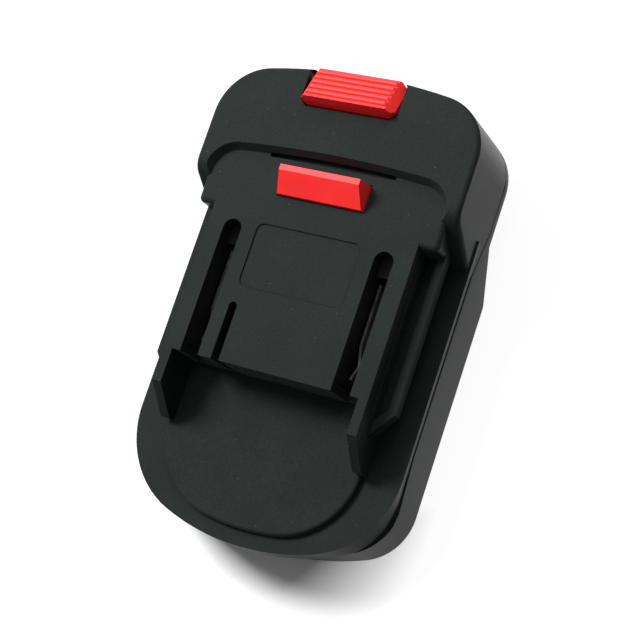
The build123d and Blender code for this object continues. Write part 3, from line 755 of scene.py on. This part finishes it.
def tube(points, radius):
    """A round tube along a smooth path from the first to the last of five points."""
    bpy.ops.object.select_all(action="DESELECT")
    bpy.ops.curve.primitive_nurbs_path_add(location=(0, 0, 0))
    piece = bpy.context.object
    spline = piece.data.splines[0]
    for point, place in zip(spline.points, points):
        point.co = (*place, 1.0)
    spline.order_u = 3
    spline.use_endpoint_u = True
    spline.resolution_u = 8
    piece.data.bevel_depth = radius
    piece.data.bevel_resolution = 3
    piece.data.use_fill_caps = True
    bpy.ops.object.convert(target="MESH")
    bpy.ops.object.shade_smooth_by_angle(angle=math.radians(40))
    return bpy.context.object


def coil(radius, wire, low, high, turns):
    """A wire of radius wire wound about the Z axis from low to high."""
    bpy.ops.object.select_all(action="DESELECT")
    bpy.ops.mesh.primitive_circle_add(
        vertices=10, radius=wire, location=(radius, 0, low), rotation=(math.pi / 2, 0, 0)
    )
    piece = bpy.context.object
    bpy.ops.object.transform_apply(location=True, rotation=True)
    winding = piece.modifiers.new("winding", "SCREW")
    winding.angle = math.tau
    winding.screw_offset = (high - low) / turns
    winding.iterations = turns
    winding.steps = 40
    winding.render_steps = 40
    winding.use_smooth_shade = True
    bpy.ops.object.modifier_apply(modifier="winding")
    pick(piece, "FACE", lambda face: False)
    bpy.ops.mesh.select_mode(type="EDGE")
    bpy.ops.mesh.select_non_manifold()
    bpy.ops.mesh.edge_face_add()
    return close_up(piece)


def screw(head, height, shank, length, pitch):
    """A screw that stands on its head at the origin, with a six-lobed recess and a thread.

    head and shank are radii. height is the head's, and length is the shank's.
    """
    sides, lobes, base = 24, 6, 1e-6
    side_angle, sides_per_lobe = 360 / sides, sides // lobes
    core, end = 0.84 * shank, height + length
    steps = [
        (0.86 * head, 0.0),
        (0.96 * head, 0.12 * height),
        (head, 0.34 * height),
        (head, height),
        (core, height),
    ]
    low = height + 0.5 * pitch
    while low + pitch < end - 0.6 * pitch:
        steps += [
            (core, low),
            (shank, low + 0.4 * pitch),
            (shank, low + 0.5 * pitch),
            (core, low + 0.9 * pitch),
        ]
        low += pitch
    steps += [(core, end - 0.5 * pitch), (0.6 * core, end)]
    piece = turned(steps, sides)

    # The recess: a face inset in the head is drawn in between its six lobes, and then sunk
    pick(piece, "FACE", lambda face: face.center.z < base)
    bpy.ops.mesh.inset(thickness=0.3 * head)
    for turns, wide in (((2,), 0.72), ((1, 3), 0.88)):
        pick(
            piece,
            "VERT",
            lambda point: point.co.z < base
            and math.hypot(point.co.x, point.co.y) < 0.7 * head
            and round(math.degrees(math.atan2(point.co.y, point.co.x)) / side_angle)
            % sides_per_lobe
            in turns,
        )
        bpy.ops.transform.resize(value=(wide, wide, 1.0), center_override=(0, 0, 0))
    pick(
        piece,
        "FACE",
        lambda face: face.center.z < base
        and math.hypot(face.center.x, face.center.y) < 0.05 * head,
    )
    push(z=0.08 * height, wide=0.94)
    push(z=0.55 * height, wide=0.92)
    return close_up(piece)


# Operators


class ADAPTER_OT_stage(bpy.types.Operator):
    """Put down the floor, hang the lamps and set the camera"""

    bl_idname = "adapter.stage"
    bl_label = "Stage"

    def execute(self, context):
        stage = context.scene.adapter_stage
        bpy.ops.object.select_all(action="DESELECT")
        floor_drop, glow = 0.0001, 0.92
        bpy.ops.mesh.primitive_plane_add(size=stage.floor_size, location=(0, 0, -floor_drop))
        floor = context.object
        floor.name = "floor"
        finish = Finish("floor_paper")
        seen = finish.seen()

        # Next to the tail the floor is plain paper, which shows the object's shadow. Beside the
        # object and further off it also glows white, but only for the camera, in mirrored looks
        # and through clear things.
        along = finish.along("Y", finish.place)
        away = finish.node(
            "ShaderNodeVectorMath",
            {"operation": "DISTANCE"},
            {"Vector": finish.place, "Vector_001": (-0.012, -0.040, 0.0)},
            "Value",
        )
        paper = along.maths("MAXIMUM", along.between(-0.054, -0.034), away.between(0.030, 0.052))
        paint(
            floor,
            finish.surface(
                Base_Color=finish.mix(paper, (0.85, 0.85, 0.85, 1.0), (0.14, 0.14, 0.14, 1.0)),
                Roughness=0.9,
                Specular_IOR_Level=0.0,
                Emission_Color=(1.0, 1.0, 1.0, 1.0),
                Emission_Strength=seen * glow * paper,
            ),
        )
        finish.open_from_behind()

        room = Finish("room", bpy.data.worlds.new("room"))
        context.scene.world = room.material
        lit = room.seen()
        strength = stage.sky * (1 - lit) + lit
        room.fill(room.shader, {"Color": (1.0, 1.0, 1.0, 1.0), "Strength": strength})

        for name, place, size, power in (
            ("key_lamp", stage.key_place, stage.key_size, stage.key_power),
            ("fill_lamp", stage.fill_place, 2 * stage.key_size, stage.fill_power),
        ):
            bpy.ops.object.light_add(type="AREA", location=place)
            lamp = context.object
            lamp.name = name
            lamp.data.shape = "SQUARE"
            lamp.data.size = size
            lamp.data.energy = power
            lamp.rotation_euler = Vector(place).to_track_quat("Z", "Y").to_euler()

        bpy.ops.object.camera_add(location=stage.camera_place, rotation=stage.camera_turn)
        camera = context.object
        camera.name = "camera"
        camera.data.lens = stage.lens
        camera.data.sensor_width = 36.0
        camera.data.clip_start = 0.01
        context.scene.camera = camera
        context.scene.view_settings.view_transform = "Standard"
        return {"FINISHED"}


class ADAPTER_OT_shells(bpy.types.Operator):
    """Dress the top cover and the lower housing in dark textured plastic"""

    bl_idname = "adapter.shells"
    bl_label = "Cover and housing"

    def execute(self, context):
        made = finishes(context.scene.adapter_finish)
        edges = context.scene.adapter_edges
        look = ("housing", "housing_plastic", made["housing_plastic"])
        dressed_copy("top_cover", "cover_shell", edges.shell_edge, *look)
        dressed_copy("lower_housing", "housing_shell", edges.lip_edge, *look, long_only=True)
        return {"FINISHED"}


class ADAPTER_OT_latch(bpy.types.Operator):
    """Dress the release latch in red plastic and its springs in steel"""

    bl_idname = "adapter.latch"
    bl_label = "Latch and springs"

    def execute(self, context):
        made = finishes(context.scene.adapter_finish)
        edge = context.scene.adapter_edges.latch_edge
        look = ("latch", "red_plastic", made["red_plastic"])
        dressed_copy("release_latch", "latch_moulding", edge, *look, angle=25.0)
        radius, wire, turns = 0.00415, 0.0004, 6
        spring_x, spring_y = 0.0074, 0.034
        low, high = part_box("latch_spring_right")
        for name, x in (("latch_spring_left", -spring_x), ("latch_spring_right", spring_x)):
            piece = coil(radius, wire, low.z + wire, high.z - wire, turns)
            piece.location = (x, spring_y, 0)
            settle(piece, f"{name}_coil", "housing", "spring_steel", made["spring_steel"])
            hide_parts(name)
            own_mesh(piece)
        return {"FINISHED"}


class ADAPTER_OT_screws(bpy.types.Operator):
    """Turn the housing screws and the board screws, with threads and six-lobed recesses"""

    bl_idname = "adapter.screws"
    bl_label = "Screws"

    def execute(self, context):
        steel = finishes(context.scene.adapter_finish)["screw_steel"]
        low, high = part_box("housing_screws")
        head, height, shank, pitch = 0.0028, 0.0013, 0.0015, 0.0009
        pattern = screw(head, height, shank, high.z - low.z - height, pitch)
        spots = ((-0.0305, -0.022), (0.0305, -0.022), (-0.0286, 0.044), (0.0286, 0.044))
        for number, (x, y) in enumerate(spots, 1):
            piece = placed_copy(pattern, (x, y, low.z))
            settle(piece, f"housing_screw_{number}", "housing", "screw_steel", steel)
            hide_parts("housing_screws")
        drop(pattern)
        low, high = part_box("board_screws")
        head, height, shank, pitch = 0.002, 0.0012, 0.001, 0.0007
        pattern = screw(head, height, shank, high.z - low.z - height, pitch)
        for number, y in enumerate((-0.011, 0.0135), 1):
            piece = placed_copy(pattern, (0, y, high.z), math.pi)
            settle(piece, f"board_screw_{number}", "housing", "screw_steel", steel)
            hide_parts("board_screws")
        drop(pattern)
        return {"FINISHED"}


class ADAPTER_OT_leads(bpy.types.Operator):
    """Lay the three insulated leads, with stripped ends and solder joints"""

    bl_idname = "adapter.leads"
    bl_label = "Leads"

    def execute(self, context):
        made = finishes(context.scene.adapter_finish)
        cover_radius, core_radius = 0.0008, 0.00045
        blade_end_y, blade_strip_y = -0.0434, -0.0421
        board_end_y, board_strip_y, joint_y = -0.0100, -0.0115, -0.0103
        bends = (-0.0344, -0.0294, -0.0244)
        dome = turned(
            [
                (0.0012, 0.0),
                (0.00115, 0.0003),
                (0.00095, 0.0007),
                (0.0006, 0.0011),
                (0.0002, 0.0013),
            ],
            20,
        )
        for name, start, end, slot in (
            ("negative_lead", -0.015, -0.009, "lead_black"),
            ("positive_lead", 0.015, 0.009, "lead_red"),
            ("signal_lead", 0.0, -0.0045, "lead_yellow"),
        ):
            middle = (start + end) / 2
            route = [(x, y, LEAD_HEIGHT) for x, y in zip((start, middle, end), bends)]
            first, last = (start, blade_strip_y, LEAD_HEIGHT), (end, board_strip_y, LEAD_HEIGHT)
            cover = tube((first, *route, last), cover_radius)
            settle(cover, f"{name}_cover", "housing", slot, made[slot])
            first, last = (start, blade_end_y, LEAD_HEIGHT), (end, board_end_y, LEAD_HEIGHT)
            core = tube((first, *route, last), core_radius)
            settle(core, f"{name}_core", "housing", "contact_metal", made["solder"])
            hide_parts(name)
            board_end = placed_copy(dome, (end, joint_y, BOARD_TOP))
            settle(board_end, f"{name}_board_solder", "housing", "contact_metal", made["solder"])
            blade_place = (start, blade_end_y, LEAD_HEIGHT - 0.0001)
            blade_end = placed_copy(dome, blade_place, -math.pi / 2)
            settle(blade_end, f"{name}_blade_solder", "housing", "contact_metal", made["solder"])
        drop(dome)
        return {"FINISHED"}


class ADAPTER_OT_parts(bpy.types.Operator):
    """Give the transistors their tabs and legs, the capacitor its can and the fuse its caps"""

    bl_idname = "adapter.parts"
    bl_label = "Board parts"

    def execute(self, context):
        made = finishes(context.scene.adapter_finish)
        metal = ("housing", "contact_metal", made["contact_metal"])
        transistor_x, leg_pitch, leg_height = 0.0135, 0.0023, 0.0008
        tab = rounded_block(0.0054, 0.0016, 0.0005, 0.00012)
        leg = rounded_block(0.00075, 0.0007, 0.00045, 0.00008)
        pick(leg, "FACE", lambda face: face.normal.y < -0.99)
        push(y=-0.0006, z=-0.0008)
        push(y=-0.0009)
        close_up(leg)
        for side, x in (("left", -transistor_x), ("right", transistor_x)):
            piece = placed_copy(tab, (x, 0.0065, BOARD_TOP))
            settle(piece, f"transistor_tab_{side}", *metal)
            for number, step in enumerate((-leg_pitch, 0.0, leg_pitch), 1):
                piece = placed_copy(leg, (x + step, -0.0003, BOARD_TOP + leg_height))
                settle(piece, f"transistor_leg_{side}_{number}", *metal)
        drop(tab)
        drop(leg)

        # The can has a groove near its foot and a sunk top
        low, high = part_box("smoothing_capacitor")
        reach, tall = (high.x - low.x) / 2, high.z - low.z
        can = turned(
            [
                (0.9 * reach, 0.0),
                (reach, 0.05 * tall),
                (reach, 0.16 * tall),
                (0.9 * reach, 0.2 * tall),
                (0.9 * reach, 0.25 * tall),
                (reach, 0.3 * tall),
                (reach, 0.92 * tall),
                (0.96 * reach, 0.98 * tall),
                (0.9 * reach, tall),
                (0.82 * reach, tall),
                (0.8 * reach, 0.96 * tall),
            ],
            48,
        )
        can.location = ((low.x + high.x) / 2, (low.y + high.y) / 2, low.z)
        settle(can, "capacitor_can", "housing", "capacitor_can", made["capacitor_can"])
        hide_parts("smoothing_capacitor")

        low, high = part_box("line_fuse")
        cap_length, cap_wall = 0.0016, 0.0001
        cap = rounded_block(
            cap_length, high.y - low.y + 2 * cap_wall, high.z - low.z + cap_wall, 0.00015
        )
        for side, x in (("left", low.x + cap_length / 2), ("right", high.x - cap_length / 2)):
            piece = placed_copy(cap, (x, (low.y + high.y) / 2, low.z))
            settle(piece, f"fuse_cap_{side}", "housing", "contact_metal", made["solder"])
        drop(cap)
        return {"FINISHED"}


class ADAPTER_OT_inside(bpy.types.Operator):
    """Finish the contacts, the carrier, the board and the plug"""

    bl_idname = "adapter.inside"
    bl_label = "Contacts, board and plug"

    def execute(self, context):
        made = finishes(context.scene.adapter_finish)
        for entry in frame["record"]["subparts"]:
            name, slot = entry["node"], entry["material_slot"]
            if not nodes[name].hide_render:
                # The clips get the darkened metal, which is painted shade
                paint(nodes[name], made["clip_metal_painted_shade" if name.endswith("_clip") else slot])
        return {"FINISHED"}


class ADAPTER_PT_panel(bpy.types.Panel):
    """Sidebar panel of the adapter's settings and steps"""

    bl_idname = "ADAPTER_PT_panel"
    bl_label = "Battery adapter"
    bl_space_type = "VIEW_3D"
    bl_region_type = "UI"
    bl_category = "Adapter"

    def draw(self, context):
        scene = context.scene
        for group in (scene.adapter_finish, scene.adapter_edges, scene.adapter_stage):
            box = self.layout.box()
            for name in group.bl_rna.properties.keys():
                if name not in ("rna_type", "name"):
                    box.prop(group, name)
        for operator in OPERATORS:
            self.layout.operator(operator.bl_idname)


OPERATORS = (
    ADAPTER_OT_stage,
    ADAPTER_OT_shells,
    ADAPTER_OT_latch,
    ADAPTER_OT_screws,
    ADAPTER_OT_leads,
    ADAPTER_OT_parts,
    ADAPTER_OT_inside,
)
GROUPS = {
    "adapter_finish": AdapterFinishSettings,
    "adapter_edges": AdapterEdgeSettings,
    "adapter_stage": AdapterStageSettings,
}


def register():
    for name, group in GROUPS.items():
        bpy.utils.register_class(group)
        setattr(bpy.types.Scene, name, PointerProperty(type=group))
    for cls in (*OPERATORS, ADAPTER_PT_panel):
        bpy.utils.register_class(cls)


def unregister():
    for cls in (ADAPTER_PT_panel, *reversed(OPERATORS)):
        bpy.utils.unregister_class(cls)
    for name, group in GROUPS.items():
        delattr(bpy.types.Scene, name)
        bpy.utils.unregister_class(group)


def main():
    register()
    bpy.ops.adapter.stage()
    bpy.ops.adapter.shells()
    bpy.ops.adapter.latch()
    bpy.ops.adapter.screws()
    bpy.ops.adapter.leads()
    bpy.ops.adapter.parts()
    bpy.ops.adapter.inside()


if __name__ == "__main__":
    main()
